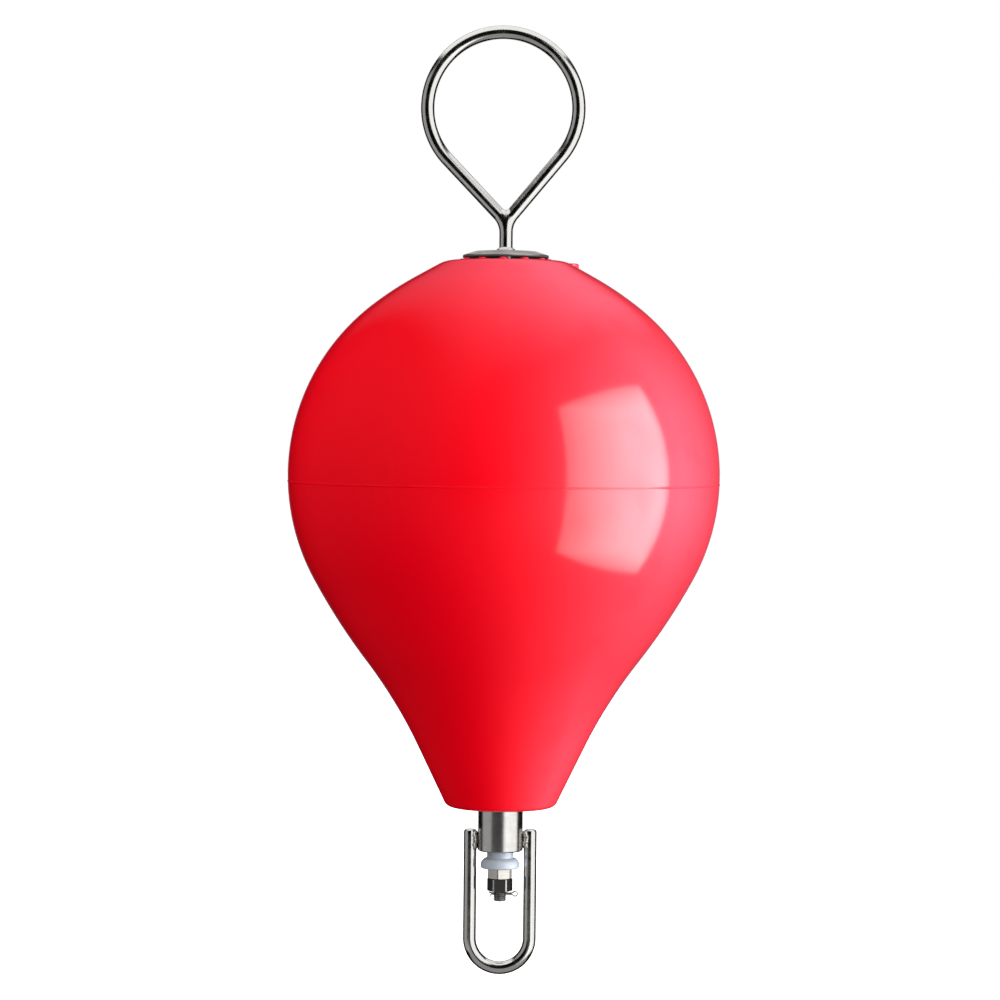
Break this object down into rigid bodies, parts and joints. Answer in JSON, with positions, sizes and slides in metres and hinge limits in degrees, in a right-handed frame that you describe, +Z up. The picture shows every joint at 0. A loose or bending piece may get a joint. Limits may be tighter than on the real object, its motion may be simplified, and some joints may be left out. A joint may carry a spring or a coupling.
{
  "type": "mooring buoy",
  "caption": "Teardrop mooring buoy: hollow vinyl float on a stainless bar with a pickup ring above and a swivel with a U-shaped bail below.",
  "frame": {"origin": "inside crown of the bail, on the bar's centreline, where the mooring's shackle pulls", "axes": "+Z up the bar towards the pickup ring, +X in the plane of the ring and of the bail, +Y through them"},
  "size_m": [0.3442, 0.3442, 0.7555],
  "materials": {
    "red_vinyl": "glossy moulded",
    "polished_stainless": "polished",
    "turned_stainless": "fine turned",
    "grey_nylon": "satin",
    "black_rubber": "matte"
  },
  "bodies": {
    "swivel": {"swivel_sleeve": "turned_stainless", "bail": "polished_stainless"},
    "bearing": {"upper_bush": "grey_nylon"},
    "buoy": {"float_shell": "red_vinyl", "valve_seat": "grey_nylon", "valve_o_ring": "black_rubber", "valve_plug": "grey_nylon", "eye_rod": "polished_stainless", "top_plate": "polished_stainless", "lower_bush": "grey_nylon", "upper_nut": "turned_stainless", "lower_nut": "turned_stainless", "cotter_pin": "polished_stainless"}
  },
  "joints": [
    {"name": "swivel_turn", "type": "hinge", "parent": "swivel", "child": "bearing", "pos_m": [0, 0, 0.127], "axis": [0, 0, 1], "continuous": true},
    {"name": "float_lift", "type": "slide", "parent": "bearing", "child": "buoy", "axis": [0, 0, 1], "range_m": [0, 0.0054]}
  ]
}
